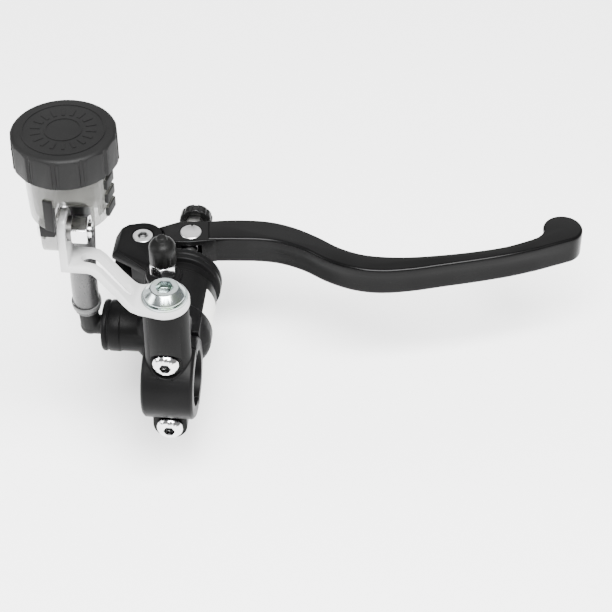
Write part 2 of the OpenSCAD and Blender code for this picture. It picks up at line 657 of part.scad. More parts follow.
module pivot_bolt() color(steel) translate([pivot_x, pivot_y, 0]) difference() {
    union() {
        translate([0, 0, ear_top - 2.28]) cylinder(r1 = 4.45, r2 = 4.45, h = 1.9);
        translate([0, 0, ear_top - 0.4]) cylinder(r1 = 4.45, r2 = 4.1, h = 0.35);
        translate([0, 0, ear_bottom - 5.6]) cylinder(r = m6, h = ear_top - ear_bottom + 4);
    }
    translate([0, 0, ear_top - 1.8]) hex(4, 4);
}

module pivot_nut() color(steel) translate([pivot_x, pivot_y, ear_bottom - 5.02]) difference() {
    intersection() {
        hex(10, 5);
        rotate_extrude() polygon([[0, 0], [5.2, 0], [5.9, 0.6], [5.9, 4.6], [5.5, 5], [0, 5]]);
    }
    translate([0, 0, -1]) cylinder(r = m6 + slip, h = 7);
}

// Cross pin that the pushrod is screwed through.
module barrel_nut() color(steel) translate([pin_x, nut_y, 0]) difference() {
    translate([0, 0, knuckle_low]) rotate_extrude() polygon([[0, 0], [pin_r - 0.4, 0],
        [pin_r, 0.4], [pin_r, knuckle_top - knuckle_low - 0.2],
        [pin_r - 0.4, knuckle_top - knuckle_low + 0.2], [0, knuckle_top - knuckle_low + 0.2]]);
    bar_y(0, axis_z, rod_r + slip, -far, far);
    translate([-0.4, pin_r - 1.2, knuckle_top - 0.3]) cube([0.8, 3, 2]);
}

module pushrod() color(steel) {
    bar_y(axis_x, axis_z, rod_r, rod_tip + rod_r, knob_y + 3);
    translate([axis_x, rod_tip + rod_r, axis_z]) sphere(r = rod_r);
}

module knob_lock_nut() color(steel) translate([axis_x, knob_y - 3.6, axis_z]) along_y()
    difference() {
        hex(8, 3.4);
        translate([0, 0, -1]) cylinder(r = rod_r + 0.02, h = 6);
    }

module adjuster_knob() color("#131313") translate([axis_x, knob_y, axis_z]) along_y()
    difference() {
        rotate_extrude() polygon([[0, 0], [knob_r - 0.5, 0], [knob_r, 0.5],
            [knob_r, knob_t - 0.8], [knob_r - 0.8, knob_t], [0, knob_t]]);
        translate([0, 0, -1]) cylinder(r = rod_r + 0.02, h = 4.02);
        translate([-1, -far, knob_t - 1.2]) cube([2, far * 2, 3]);
        for (a = [0:30:359]) rotate([0, 0, a + 15]) translate([knob_r + 0.5, 0, -1])
            cylinder(r = 0.9, h = knob_t + 2);
    }

body();
clamp_cap();
clamp_bolts();
bracket_bolt();
bracket_washer();
reservoir_bracket();
tank_screw();
tank_lock_washer();
tank_nut();
reservoir_tank();
reservoir_cap();
diaphragm();
diaphragm_ring();
fluid_hose();
hose_clamps();
reservoir_elbow();
elbow_o_ring();
elbow_snap_ring();
bleeder_screw();
bleeder_cap();
piston();
primary_cup();
secondary_cup();
return_spring();
piston_stop_washer();
piston_circlip();
dust_boot();
lever();
pivot_bushing();
pivot_bolt();
pivot_nut();
barrel_nut();
pushrod();
knob_lock_nut();
adjuster_knob();
side_label();
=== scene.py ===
# %% [markdown]
# # A radial brake master cylinder with its lever
# This is the right-hand brake control of a motorcycle: a black lever, the cylinder it pushes on,
# a clamp for the handlebar, and a small fluid tank on a white bracket. The engineering model is
# already made and packed. Here it is dressed: every piece keeps its size and place, and gets the
# rounded edges, the surface and the finish that the real one has.

# %% Load the engineering frame
import json
import math

import bpy
from mathutils import Matrix, Vector


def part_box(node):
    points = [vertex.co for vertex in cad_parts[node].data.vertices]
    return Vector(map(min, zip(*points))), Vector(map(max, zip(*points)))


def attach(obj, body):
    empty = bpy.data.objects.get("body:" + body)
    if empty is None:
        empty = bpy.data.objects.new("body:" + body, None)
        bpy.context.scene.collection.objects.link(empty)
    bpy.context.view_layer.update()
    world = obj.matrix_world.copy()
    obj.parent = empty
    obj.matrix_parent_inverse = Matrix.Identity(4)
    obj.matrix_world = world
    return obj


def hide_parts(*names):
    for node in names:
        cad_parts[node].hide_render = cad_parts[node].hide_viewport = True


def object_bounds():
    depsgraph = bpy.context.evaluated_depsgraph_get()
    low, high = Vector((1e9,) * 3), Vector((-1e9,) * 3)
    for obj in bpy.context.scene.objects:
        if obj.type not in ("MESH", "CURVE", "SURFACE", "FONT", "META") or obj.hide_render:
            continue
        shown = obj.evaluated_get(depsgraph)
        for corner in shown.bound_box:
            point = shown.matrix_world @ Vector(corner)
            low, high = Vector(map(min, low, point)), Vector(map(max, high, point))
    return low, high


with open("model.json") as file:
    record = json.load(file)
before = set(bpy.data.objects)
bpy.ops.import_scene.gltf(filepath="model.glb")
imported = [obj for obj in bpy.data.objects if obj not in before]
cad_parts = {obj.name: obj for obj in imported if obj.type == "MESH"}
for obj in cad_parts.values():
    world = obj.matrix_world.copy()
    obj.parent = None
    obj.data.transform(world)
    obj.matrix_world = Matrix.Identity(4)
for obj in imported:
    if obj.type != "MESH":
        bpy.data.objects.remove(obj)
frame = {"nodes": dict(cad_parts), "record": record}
nodes = frame["nodes"]
cad_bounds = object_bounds()
slots = {part["node"]: part["material_slot"] for part in frame["record"]["subparts"]}
MM = 0.001
print("frame:", len(nodes), "nodes, box", cad_bounds)

# %% [markdown]
# ## The camera
# A product picture looks down on the part from the rider's side, from well back, with a long
# lens. A long lens keeps the near and far ends almost the same scale, so round things stay round.

# %% Camera
CAMERA_AT = Vector((0.0994, -0.5307, 0.5211))
AZIMUTH = math.radians(5)
ELEVATION = math.radians(42)
towards_camera = Vector((math.sin(AZIMUTH) * math.cos(ELEVATION),
                         -math.cos(AZIMUTH) * math.cos(ELEVATION), math.sin(ELEVATION)))

bpy.ops.object.camera_add(location=CAMERA_AT,
                          rotation=towards_camera.to_track_quat("Z", "Y").to_euler())
camera = bpy.context.object
camera.data.sensor_width = 36
camera.data.lens = 111.8
camera.data.clip_end = 20
bpy.context.scene.camera = camera
print("camera", camera.data.lens, "mm lens")

# %% [markdown]
# ## Shader maths as plain expressions
# A node tree is easier to read as a sum than as a drawing. `Value` holds one output of a node, and
# its operators add Math nodes, so `0.3 + cloud * 0.12` works. Only sums and products are needed.

# %% Values that add up
class Value:
    """One output socket. Arithmetic on it adds Math nodes to the same material."""

    def __init__(self, finish, socket):
        self.finish = finish
        self.socket = socket

    def maths(self, operation, first, second):
        return self.finish.node("ShaderNodeMath", {"operation": operation}, {0: first, 1: second})

    def __add__(self, other):
        return self.maths("ADD", self, other)

    def __mul__(self, other):
        return self.maths("MULTIPLY", self, other)

    __radd__ = __add__
    __rmul__ = __mul__


print("values ready")

# %% [markdown]
# ## A material under construction
# `Finish` holds one material. Its method `node` adds any node: the settings first, because a mode
# can change which sockets there are, and then the sockets' values or links. The other methods are
# short names for the few nodes that every surface here is made of: where a point lies on the piece,
# cloudy noise, cells, a colour ramp, a mix and a bump.

# %% A finish made of nodes
class Finish:
    """A material made of nodes."""

    def __init__(self, name):
        self.material = bpy.data.materials.new(name)
        self.material.use_nodes = True
        self.tree = self.material.node_tree
        self.tree.nodes.clear()

    def node(self, kind, settings=None, sockets=None, out=0):
        made = self.tree.nodes.new(kind)
        for key, value in (settings or {}).items():
            if key == "stops":
                self.set_stops(made.color_ramp, value)
            else:
                setattr(made, key, value)
        for key, value in (sockets or {}).items():
            if isinstance(value, Value):
                self.tree.links.new(value.socket, made.inputs[key])
            else:
                made.inputs[key].default_value = value
        return Value(self, made.outputs[out]) if len(made.outputs) else made

    def set_stops(self, ramp, stops):
        while len(ramp.elements) < len(stops):
            ramp.elements.new(0.5)
        for element, (place, colour) in zip(ramp.elements, stops):
            element.position = place
            element.color = (*colour, 1)

    def place(self, scale=(1, 1, 1), turn=(0, 0, 0), centre=(0, 0, 0)):
        """Object coordinates about a centre, turned and then scaled."""
        where = self.node("ShaderNodeTexCoord", out="Object")
        where = self.node("ShaderNodeVectorMath", {"operation": "SUBTRACT"},
                          {0: where, 1: tuple(centre)})
        return self.node("ShaderNodeMapping", {"vector_type": "POINT"},
                         {"Vector": where, "Rotation": turn, "Scale": scale})

    def noise(self, scale, detail=3, roughness=0.5, where=None):
        return self.node("ShaderNodeTexNoise", {"noise_dimensions": "3D"},
                         {"Vector": where or self.place(), "Scale": scale, "Detail": detail,
                          "Roughness": roughness}, out=0)

    def cells(self, scale, where=None):
        return self.node("ShaderNodeTexVoronoi", {"feature": "F1"},
                         {"Vector": where or self.place(), "Scale": scale}, out=0)

    def ramp(self, value, stops):
        return self.node("ShaderNodeValToRGB", {"stops": stops}, {0: value})

    def mix(self, factor, first, second):
        return self.node("ShaderNodeMix", {"data_type": "RGBA"},
                         {0: factor, 6: first, 7: second}, out=2)

    def painted_recess_shade(self):
        """Painted shade: near 1 inside sockets and corners, where ambient occlusion is low, and 0 on
        open faces.
        """
        openness = self.node("ShaderNodeAmbientOcclusion", {"samples": 12},
                             {"Distance": 0.004}, out="AO")
        return self.ramp(openness, [(0.4, (1, 1, 1)), (0.72, (0, 0, 0))])

    def bump(self, height, strength, distance, over=None):
        sockets = {"Height": height, "Strength": strength, "Distance": distance}
        if over:
            sockets["Normal"] = over
        return self.node("ShaderNodeBump", sockets=sockets)

    def surface(self, **sockets):
        shader = self.node("ShaderNodeBsdfPrincipled",
                           sockets={key.replace("_", " "): value for key, value in sockets.items()})
        self.node("ShaderNodeOutputMaterial", sockets={"Surface": shader})
        return self.material


print("Finish ready")

# %% [markdown]
# ## Greys, and a shelf for the finishes
# Nearly everything on this part is a grey with a slight tint, so a colour is given as one level.
# `keep` makes a finish as soon as its function is written, and puts it on the shelf under the
# function's name, which is also the name of its material slot in the engineering record.

# %% Greys and the shelf
finishes = {}


def shade(level, tint=(1, 1, 1)):
    """A colour of one brightness with a slight tint, as a socket wants it."""
    return (level * tint[0], level * tint[1], level * tint[2], 1)


def keep(make):
    """Makes a finish and keeps it under its function's name."""
    finishes[make.__name__] = make()
    print(make.__name__, "has", len(finishes[make.__name__].node_tree.nodes), "nodes")


print("shelf ready")

# %% [markdown]
# ## The castings' black coat
# The body and the clamp are cast, then powder coated: satin, with a very fine orange peel and tiny
# pits. The coat is nearly black but not one flat black, so a slow cloud moves its brightness and
# its gloss. A low specular level keeps the pale floor from greying it.

# %% Black coat of the castings
def black_casting():
    f = Finish("black_casting")
    cloud = f.noise(55, detail=2)
    peel = f.noise(2600, detail=2)
    pits = f.cells(1500)
    grain = f.bump(peel, 0.35, 0.00006, over=f.bump(pits, 0.12, 0.00008))
    return f.surface(Base_Color=f.mix(cloud, shade(0.0015), shade(0.005, (1, 1, 1.03))),
                     Roughness=0.3 + cloud * 0.12 + peel * 0.08,
                     Normal=grain, Specular_IOR_Level=0.05)


keep(black_casting)

# %% [markdown]
# ## The lever's black coat
# The lever is forged and polished before it is anodized, so its coat is smoother and glossier and
# shows long clean reflections. The polish runs along the blade: its noise is stretched along X.

# %% Black coat of the lever
def black_lever():
    f = Finish("black_lever")
    cloud = f.noise(40, detail=2)
    polish = f.noise(260, detail=3, where=f.place(scale=(0.15, 1, 1)))
    micro = f.noise(4200, detail=1)
    return f.surface(Base_Color=f.mix(cloud, shade(0.001), shade(0.004, (1, 1, 1.02))),
                     Roughness=0.16 + polish * 0.1,
                     Normal=f.bump(micro, 0.12, 0.00003, over=f.bump(polish, 0.1, 0.0001)),
                     Specular_IOR_Level=0.06, Coat_Weight=0.04, Coat_Roughness=0.12)


keep(black_lever)

# %% [markdown]
# ## The knob
# The knob is turned from bar, so its faint marks go round its own axis, which is Y. Noise that is
# squeezed along that axis gives fine rings for the price of one node.

# %% Turned black knob
def black_knob():
    f = Finish("black_knob")
    lathe = f.noise(900, detail=1, where=f.place(scale=(1, 6, 1)))
    return f.surface(Base_Color=f.mix(lathe, shade(0.002), shade(0.006)),
                     Roughness=0.2 + lathe * 0.12,
                     Normal=f.bump(lathe, 0.1, 0.00004), Specular_IOR_Level=0.12)


keep(black_knob)

# %% [markdown]
# ## Chrome
# Chrome plate is a mirror with small faults: a thin haze. Its hexagon sockets get painted shade: they
# are found by ambient occlusion, which is low inside a hole, so they stay dark however the bolt is
# turned.

# %% Chrome
def chrome_steel():
    f = Finish("chrome_steel")
    haze = f.noise(380, detail=4)
    plate = f.mix(haze, shade(0.62), shade(0.8, (1, 1, 1.02)))
    # Painted shade: the sockets and corners go near black.
    return f.surface(Base_Color=f.mix(f.painted_recess_shade(), plate, shade(0.015)), Metallic=1.0,
                     Roughness=0.06 + haze * 0.1, Normal=f.bump(haze, 0.06, 0.0001))


keep(chrome_steel)

# %% [markdown]
# ## Zinc plate
# The large bracket bolt is zinc plated: softer than chrome, a little blue and green, and blotchy
# where the passivation dried. Its socket gets painted shade, tinted green.

# %% Zinc
def zinc_steel():
    f = Finish("zinc_steel")
    blotch = f.noise(150, detail=4, roughness=0.65)
    fine = f.noise(1800, detail=2)
    colour = f.ramp(blotch, [(0.3, (0.34, 0.41, 0.4)), (0.5, (0.46, 0.5, 0.51)),
                             (0.7, (0.38, 0.45, 0.38))])
    # Painted shade, tinted green, in the socket and corners.
    return f.surface(Base_Color=f.mix(f.painted_recess_shade(), colour, (0.05, 0.09, 0.045, 1)),
                     Metallic=1.0, Roughness=0.12 + blotch * 0.16,
                     Normal=f.bump(fine, 0.06, 0.00006))


keep(zinc_steel)

# %% [markdown]
# ## Satin steel
# Turned faces carry fine rings about their own axis, so a wave texture in its ring mode is centred
# on the cross pin, where they show most. Other satin parts share the finish, off their own centres.

# %% Satin steel
low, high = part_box("barrel_nut")
pin_centre = (low + high) / 2


def satin_steel():
    f = Finish("satin_steel")
    grain = f.noise(700, detail=3)
    rings = f.node("ShaderNodeTexWave", {"wave_type": "RINGS", "rings_direction": "Z"},
                   {"Vector": f.place(centre=pin_centre), "Scale": 420, "Distortion": 1.5,
                    "Detail": 1}, out=1)
    steel = f.mix(grain, shade(0.42), shade(0.62))
    # Painted shade: sockets and corners go near black.
    return f.surface(Base_Color=f.mix(f.painted_recess_shade(), steel, shade(0.02)), Metallic=1.0,
                     Roughness=0.24 + grain * 0.16, Normal=f.bump(rings, 0.12, 0.00004))


keep(satin_steel)
print("cross pin at", [round(value / MM, 1) for value in pin_centre], "mm")

# %% [markdown]
# ## Metals that hardly show
# Three simpler metals for parts that are mostly hidden: dark oiled steel, bare aluminium and bronze.
# Each is one metal with a stain or a grain.

# %% Dark steel, aluminium and bronze
def dark_steel():
    f = Finish("dark_steel")
    stain = f.noise(300, detail=4)
    return f.surface(Base_Color=f.mix(stain, shade(0.06), shade(0.2, (1, 0.98, 0.95))),
                     Metallic=1.0, Roughness=0.3 + stain * 0.2, Normal=f.bump(stain, 0.1, 0.0001))


def bare_aluminium():
    f = Finish("bare_aluminium")
    grain = f.noise(500, detail=3, where=f.place(scale=(1, 5, 1)))
    return f.surface(Base_Color=f.mix(grain, shade(0.5), shade(0.7)), Metallic=1.0,
                     Roughness=0.25 + grain * 0.15, Normal=f.bump(grain, 0.1, 0.00006))


def bronze():
    f = Finish("bronze")
    grain = f.noise(1200, detail=4)
    return f.surface(Base_Color=f.mix(grain, (0.32, 0.19, 0.07, 1), (0.55, 0.36, 0.15, 1)),
                     Metallic=1.0, Roughness=0.35 + grain * 0.2, Normal=f.bump(grain, 0.2, 0.0001))


for make in (dark_steel, bare_aluminium, bronze):
    keep(make)

# %% [markdown]
# ## White paint
# The bracket is bent strip under white powder coat. The paint is a clear-coated light grey here,
# because strong light makes it look white while its bends still show.

# %% White paint
def white_strip():
    f = Finish("white_strip")
    peel = f.noise(1100, detail=2)
    cloud = f.noise(60, detail=2)
    return f.surface(Base_Color=f.mix(cloud, shade(0.34, (1, 1, 0.99)), shade(0.44)),
                     Roughness=0.26 + cloud * 0.12, Normal=f.bump(peel, 0.18, 0.00008),
                     Coat_Weight=0.3, Coat_Roughness=0.15)


keep(white_strip)

# %% [markdown]
# ## Black mouldings
# The cap and the elbow are matt mouldings. Their moulds were spark eroded, which leaves a cellular
# grain, so Voronoi cells drive the bump.

# %% Black mouldings
def black_plastic():
    f = Finish("black_plastic")
    grain = f.cells(2200)
    cloud = f.noise(70, detail=2)
    return f.surface(Base_Color=f.mix(cloud, shade(0.003), shade(0.008)),
                     Roughness=0.42 + cloud * 0.1 + grain * 0.08, Specular_IOR_Level=0.1,
                     Normal=f.bump(grain, 0.4, 0.00006, over=f.bump(cloud, 0.1, 0.0004)))


keep(black_plastic)

# %% [markdown]
# ## Smoke-clear tank
# The tank is smoke-clear: what is behind it shows, dimmed. Each wall has two faces, and each face
# lets part of the light past by its alpha. Flow lines from moulding run down the walls, so the
# noise is stretched along Z.

# %% Smoke-clear plastic
def smoke_plastic():
    f = Finish("smoke_plastic")
    flow = f.noise(170, detail=3, where=f.place(scale=(1, 1, 0.08)))
    haze = f.noise(35, detail=2)
    return f.surface(Base_Color=f.mix(flow, (0.03, 0.03, 0.025, 1), (0.1, 0.1, 0.09, 1)),
                     Roughness=0.08 + haze * 0.1, Alpha=0.4 + flow * 0.22 + haze * 0.1,
                     Normal=f.bump(flow, 0.12, 0.0003), Specular_IOR_Level=0.35)


keep(smoke_plastic)

# %% [markdown]
# ## Hose and bands
# The hose is a soft grey tube with faint lines along it from the die. Its bands are a lighter grey
# moulding.

# %% Hose and bands
def grey_hose():
    f = Finish("grey_hose")
    lines = f.noise(900, detail=2, where=f.place(scale=(1, 1, 0.05)))
    cloud = f.noise(120, detail=2)
    return f.surface(Base_Color=f.mix(cloud, shade(0.02, (1, 0.98, 1.02)), shade(0.045)),
                     Roughness=0.22 + lines * 0.14, Normal=f.bump(lines, 0.12, 0.0001),
                     Alpha=0.94 + cloud * 0.05, Specular_IOR_Level=0.3)


def hose_band():
    f = Finish("hose_band")
    grain = f.noise(800, detail=2)
    return f.surface(Base_Color=f.mix(grain, shade(0.04), shade(0.08)),
                     Roughness=0.3 + grain * 0.15, Normal=f.bump(grain, 0.15, 0.0001))


for make in (grey_hose, hose_band):
    keep(make)

# %% [markdown]
# ## White ring, rubber and label
# The last three: a ring in the tank's neck, the rubber of cap, boot and seals with its grey bloom,
# and the blank label's printed stock.

# %% White ring, rubber and label
def white_plastic():
    f = Finish("white_plastic")
    grain = f.noise(500, detail=2)
    return f.surface(Base_Color=f.mix(grain, shade(0.7), shade(0.8)), Roughness=0.4 + grain * 0.1,
                     Normal=f.bump(grain, 0.1, 0.0001))


def black_rubber():
    f = Finish("black_rubber")
    bloom = f.noise(200, detail=3)
    grain = f.noise(3000, detail=1)
    return f.surface(Base_Color=f.mix(bloom, shade(0.002), shade(0.007, (1, 1, 0.98))),
                     Roughness=0.34 + bloom * 0.14, Normal=f.bump(grain, 0.2, 0.00005),
                     Specular_IOR_Level=0.08)


def label_stock():
    f = Finish("label_stock")
    paper = f.noise(1500, detail=2)
    return f.surface(Base_Color=f.mix(paper, shade(0.72, (1, 1, 0.95)), shade(0.82, (1, 1, 0.96))),
                     Roughness=0.35 + paper * 0.1, Normal=f.bump(paper, 0.1, 0.00005))


for make in (white_plastic, black_rubber, label_stock):
    keep(make)

# %% [markdown]
# ## Every node gets its finish
# Each engineering node names its material slot. Those that no new piece replaces stay visible, so
# all of them are dressed now.

# %% Dress the nodes
for name, node in nodes.items():
    node.data.materials.clear()
    node.data.materials.append(finishes[slots[name]])
print(len(finishes), "finishes on", len(nodes), "nodes")

# %% [markdown]
# ## Tools of the bench: selecting
# Everything new is modelled as by hand: a primitive, then edit mode, then modifiers. An operator
# acts on all that is selected, so `fresh` deselects everything first, and `pick` selects faces,
# edges or vertices by where they are. `named` moves a primitive's place into its mesh, so that the
# finished object sits at the origin and its pattern does not slide when the piece is posed.

# %% Selecting
def fresh():
    """Leaves edit mode and deselects everything."""
    if bpy.context.object and bpy.context.object.mode != "OBJECT":
        bpy.ops.object.mode_set(mode="OBJECT")
    bpy.ops.object.select_all(action="DESELECT")


def named(name):
    """Names the primitive that was just added, and moves its place into its mesh."""
    piece = bpy.context.object
    piece.name = piece.data.name = name
    bpy.ops.object.transform_apply(location=True, rotation=True, scale=True)
    return piece


def pick(piece, kind, test):
    """Selects the faces (centre, normal), edges (two ends) or vertices (place) that pass a test."""
    bpy.ops.object.mode_set(mode="EDIT")
    bpy.ops.mesh.select_mode(type=kind)
    bpy.ops.mesh.select_all(action="DESELECT")
    bpy.ops.object.mode_set(mode="OBJECT")
    mesh = piece.data
    spots = [v.co.copy() for v in mesh.vertices]
    if kind == "FACE":
        for face in mesh.polygons:
            face.select = test(face.center, face.normal)
    elif kind == "EDGE":
        for edge in mesh.edges:
            edge.select = test(spots[edge.vertices[0]], spots[edge.vertices[1]])
    else:
        for vertex in mesh.vertices:
            vertex.select = test(vertex.co)
    bpy.ops.object.mode_set(mode="EDIT")


print("selecting ready")

# %% [markdown]
# ## Tools of the bench: shaping
# Extrusions move in metres. A modifier is added and applied in one go. Rounding goes by the angle
# between two faces, and cutting and fusing use exact booleans, which keep flat faces flat.

# %% Shaping
def extrude(shift):
    bpy.ops.mesh.extrude_region_move(TRANSFORM_OT_translate={"value": shift})


def apply_modifier(piece, kind, **settings):
    """Adds a modifier to a piece and applies it."""
    fresh()
    piece.select_set(True)
    bpy.context.view_layer.objects.active = piece
    modifier = piece.modifiers.new(kind.lower(), kind)
    for key, value in settings.items():
        setattr(modifier, key, value)
    bpy.ops.object.modifier_apply(modifier=modifier.name)


def round_edges(piece, width, sharper_than=30, segments=3):
    """Rounds every edge where two faces meet at more than an angle."""
    apply_modifier(piece, "BEVEL", width=width, segments=segments, limit_method="ANGLE",
                   angle_limit=math.radians(sharper_than), use_clamp_overlap=False,
                   harden_normals=False, miter_outer="MITER_ARC")


def cut(piece, tool):
    """Takes a tool's shape out of a piece, and throws the tool away."""
    apply_modifier(piece, "BOOLEAN", operation="DIFFERENCE", object=tool, solver="EXACT")
    bpy.data.objects.remove(tool)


def fuse(piece, other):
    """Makes one shape of two."""
    apply_modifier(piece, "BOOLEAN", operation="UNION", object=other, solver="EXACT")
    bpy.data.objects.remove(other)


print("shaping ready")

# %% [markdown]
# ## Tools of the bench: handing over
# A finished mesh has its doubles merged and its faces turned outwards. Then the piece gets its
# smooth shading and its finish, rides on the body of its node, and takes that node's place. A piece
# that only adds to a node names its own finish, and replaces nothing.

# %% Handing over
body_of = {node: body for body, members in frame["record"]["behaviour"]["bodies"].items()
           for node in members}


def tidy_mesh(piece, gap=0.00001):
    """Merges doubles and turns every face outwards."""
    pick(piece, "VERT", lambda co: True)
    bpy.ops.mesh.remove_doubles(threshold=gap)
    bpy.ops.mesh.normals_make_consistent(inside=False)
    fresh()


def hand_over(piece, node, smooth=32, finish=None):
    """Gives a piece its finish, and lets it stand for a CAD node on that node's body."""
    fresh()
    piece.select_set(True)
    bpy.context.view_layer.objects.active = piece
    bpy.ops.object.shade_smooth_by_angle(angle=math.radians(smooth))
    piece.data.materials.clear()
    piece.data.materials.append(finishes[finish or slots[node]])
    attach(piece, body_of[node])
    if not finish:
        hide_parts(node)
    size = (Vector(piece.bound_box[6]) - Vector(piece.bound_box[0])) / MM
    print(piece.name, len(piece.data.polygons), "faces,", [round(v, 1) for v in size], "mm")


print(len(body_of), "nodes know their body")

# %% [markdown]
# ## Tools of the bench: bars and boxes
# Most parts start as a round bar or a box. A post and a block take plain millimetres.

# %% Bars and boxes
def mm(*values):
    return Vector(values) * MM


def cylinder(name, radius, start, end, sides=64):
    """A round bar between two points, all in metres."""
    start, end = Vector(start), Vector(end)
    fresh()
    bpy.ops.mesh.primitive_cylinder_add(
        vertices=sides, radius=radius, depth=(end - start).length, location=(start + end) / 2,
        rotation=(end - start).to_track_quat("Z", "Y").to_euler())
    return named(name)


def post(name, radius, low, high, at, sides=64):
    """An upright round bar between two heights."""
    fresh()
    bpy.ops.mesh.primitive_cylinder_add(vertices=sides, radius=radius * MM, depth=(high - low) * MM,
                                        location=(at[0] * MM, at[1] * MM, (low + high) / 2 * MM))
    return named(name)


def block(name, centre, size, turn=0, width=0.4):
    """A box with rounded edges; the turn is in degrees."""
    fresh()
    bpy.ops.mesh.primitive_cube_add(size=MM, scale=size, location=mm(*centre),
                                    rotation=(0, 0, math.radians(turn)))
    piece = named(name)
    round_edges(piece, width * MM)
    return piece


def joined(pieces):
    """Makes one object of several that don't touch."""
    fresh()
    for piece in pieces:
        piece.select_set(True)
    bpy.context.view_layer.objects.active = pieces[0]
    bpy.ops.object.join()
    return pieces[0]


print("bars and boxes ready")

# %% [markdown]
# ## The lever
# A forged lever is flat on top and underneath, hollow along its sides so that fingers grip it, and
# round at every edge. Seen from above it is an outline: two smooth sides that follow the blade's
# middle line, and a disc at the tip. So it is drawn as an outline, point by point, filled, and
# extruded upwards in steps. Then the steps in the middle are drawn in to hollow the sides, and the
# rims are bevelled.

# %% Middle line of the blade
# Each station: along the bar, forward of the bar, half the blade's width.
BLADE = [(4, 81.5, 6.1), (16, 83, 6.5), (28, 83.4, 6.3), (38, 81.5, 5.7), (48, 77.1, 5.1),
         (58, 70.9, 4.95), (68, 67.1, 5), (78, 66.1, 4.9), (90, 67.5, 4.2), (104, 70.9, 3.4),
         (118, 74.8, 3.05), (131, 79.2, 3), (142, 84.4, 3.5)]
DISC_AT = Vector((153.7, 95.8))
DISC_R = 8.38


def glide(points, steps):
    """A smooth line through some points."""
    line = []
    for i in range(len(points) - 1):
        p0, p1, p2, p3 = (Vector(points[min(max(k, 0), len(points) - 1)])
                          for k in (i - 1, i, i + 1, i + 2))
        for k in range(steps):
            t = k / steps
            line.append(0.5 * (2 * p1 + (p2 - p0) * t + (2 * p0 - 5 * p1 + 4 * p2 - p3) * t * t
                               + (3 * p1 - p0 - 3 * p2 + p3) * t ** 3))
    return line + [Vector(points[-1])]


def arc(centre, radius, start, end, steps):
    """Points round an arc, in degrees."""
    angles = [math.radians(start + (end - start) * k / steps) for k in range(steps + 1)]
    return [Vector(centre) + radius * Vector((math.cos(a), math.sin(a))) for a in angles]


print(len(glide(BLADE, 6)), "points on the middle line")

# %% [markdown]
# ## The blade's outline
# From the middle line, each side is set off square to it by the half width. A short hollow neck
# joins the far side to the disc, and the disc is an arc that runs into the near side.

# %% Outline of the blade
def blade_outline():
    line = glide(BLADE, 6)
    sides = {1: [], -1: []}
    for i, point in enumerate(line):
        along = line[min(i + 1, len(line) - 1)] - line[max(i - 1, 0)]
        across = Vector((-along.y, along.x)).normalized()
        for side in sides:
            sides[side].append(point.xy + side * point.z * across)
    neck = [Vector((142.9, 89.2)), Vector((144.6, 91.2))]
    disc = arc(DISC_AT, DISC_R, 196, -66, 44)
    return sides[1] + neck + disc + sides[-1][::-1]


print(len(blade_outline()), "points on the outline")

# %% [markdown]
# ## Slabs
# A slab is any outline with a height. One vertex is extruded along the outline, the loop is filled,
# and the face is extruded up through its levels. Levels in between give rings of vertices that can
# be drawn in later.

# %% Slabs
def slab(name, outline, levels):
    """Draws an outline point by point, fills it, and extrudes it up through some levels."""
    fresh()
    first = Vector((*outline[0], levels[0])) * MM
    bpy.ops.mesh.primitive_plane_add(size=MM, location=first)
    piece = named(name)
    bpy.ops.object.mode_set(mode="EDIT")
    bpy.ops.mesh.select_mode(type="VERT")
    bpy.ops.mesh.select_all(action="SELECT")
    bpy.ops.mesh.merge(type="CENTER")
    for a, b in zip(outline, outline[1:]):
        bpy.ops.mesh.extrude_vertices_move(
            TRANSFORM_OT_translate={"value": (*((b - a) * MM), 0)})
    bpy.ops.mesh.select_all(action="SELECT")
    bpy.ops.mesh.edge_face_add()
    for a, b in zip(levels, levels[1:]):
        extrude((0, 0, (b - a) * MM))
    tidy_mesh(piece, gap=0.000001)
    return piece


def round_rims(piece, low, high, width, segments=3):
    """Bevels the lower and upper rim of a slab."""
    for level in (low, high):
        pick(piece, "EDGE", lambda a, b: abs(a.z / MM - level) < 0.01 and abs(b.z / MM - level) < 0.01)
        bpy.ops.mesh.bevel(offset=width * MM, segments=segments, clamp_overlap=False)
    fresh()


print("slabs ready")

# %% [markdown]
# ## The blade
# The blade is a slab with five levels inside. The middle ones are drawn in between the root and the
# disc, most at half height, so that the sides are hollow and fingers grip them. Its two rims get a
# wide bevel, which carries the long highlight.

# %% Blade
BLADE_LEVELS = [-5, -3.1, -0.9, 1.5, 3.9, 6.1, 8]
HOLLOW_FROM, HOLLOW_TO = 24, 146
HOLLOWS = ((0.3, (-0.9, 3.9)), (0.5, (1.5,)))

blade = slab("lever_blade", blade_outline(), BLADE_LEVELS)
for depth, levels in HOLLOWS:
    pick(blade, "VERT", lambda co: HOLLOW_FROM < co.x / MM < HOLLOW_TO and any(
        abs(co.z / MM - level) < 0.1 for level in levels))
    bpy.ops.transform.shrink_fatten(value=-depth * MM)
round_rims(blade, BLADE_LEVELS[0], BLADE_LEVELS[-1], 1.25, segments=4)
print("blade", len(blade.data.vertices), "vertices")

# %% [markdown]
# ## The lever's root
# The root is three things in one forging: a block that holds the cross pin, a tongue that turns in
# the clevis, and a short neck, a step lower, that carries the blade. They are slabs as well. They
# are fused into one shape, and the holes and the pushrod's slot are cut through it.

# %% Root of the lever
PIVOT = Vector((-22.6, 75.2))
TONGUE = (-1.28, 4.18)
KNUCKLE = (-4.6, 7.6)

